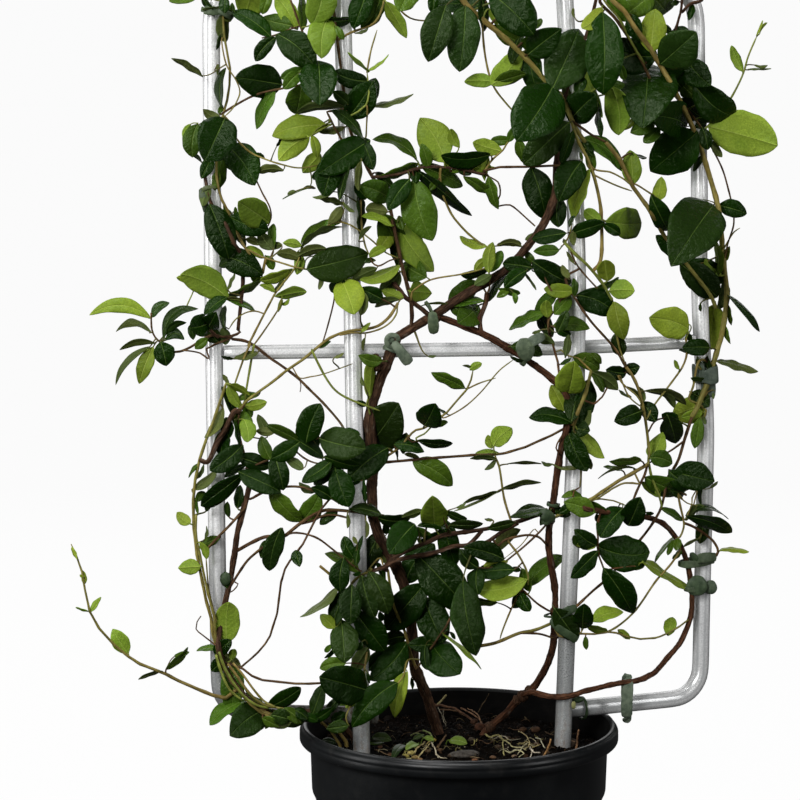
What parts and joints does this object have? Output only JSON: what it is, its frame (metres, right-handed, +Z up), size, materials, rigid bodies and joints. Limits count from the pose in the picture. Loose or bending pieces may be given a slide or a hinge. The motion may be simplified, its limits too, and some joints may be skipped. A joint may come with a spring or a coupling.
{
  "type": "potted climbing plant",
  "caption": "Star jasmine with glossy oval leaves and twining woody stems, tied to a bent-tube trellis that stands in a round tapered nursery pot of soil.",
  "frame": {"origin": "centre of the pot's flat underside", "axes": "+Z up the trellis, +X along the middle bay of the trellis to the right seen from the front, -Y towards the front face of the plant"},
  "size_m": [0.5965, 0.27, 0.8881],
  "materials": {
    "pot": "matte",
    "soil": "matte",
    "tube": "galvanised",
    "tie": "satin",
    "plant": "satin"
  },
  "bodies": {
    "root": {"pot": "pot", "soil": "soil", "outer_frame": "tube", "left_post": "tube", "right_post": "tube", "crossbar": "tube", "tie_arc_rail": "tie", "tie_rail_post": "tie", "tie_right_low": "tie", "tie_trunk": "tie", "tie_main_branch": "tie", "tie_right_post_a": "tie", "tie_right_post_b": "tie", "tie_branch_bar": "tie", "tie_right_post_c": "tie", "tie_right_cross": "tie", "tie_left_top": "tie", "tie_left_mid": "tie", "tie_left_low": "tie", "middle_plant": "plant", "right_plant": "plant", "left_plant": "plant"}
  },
  "joints": []
}
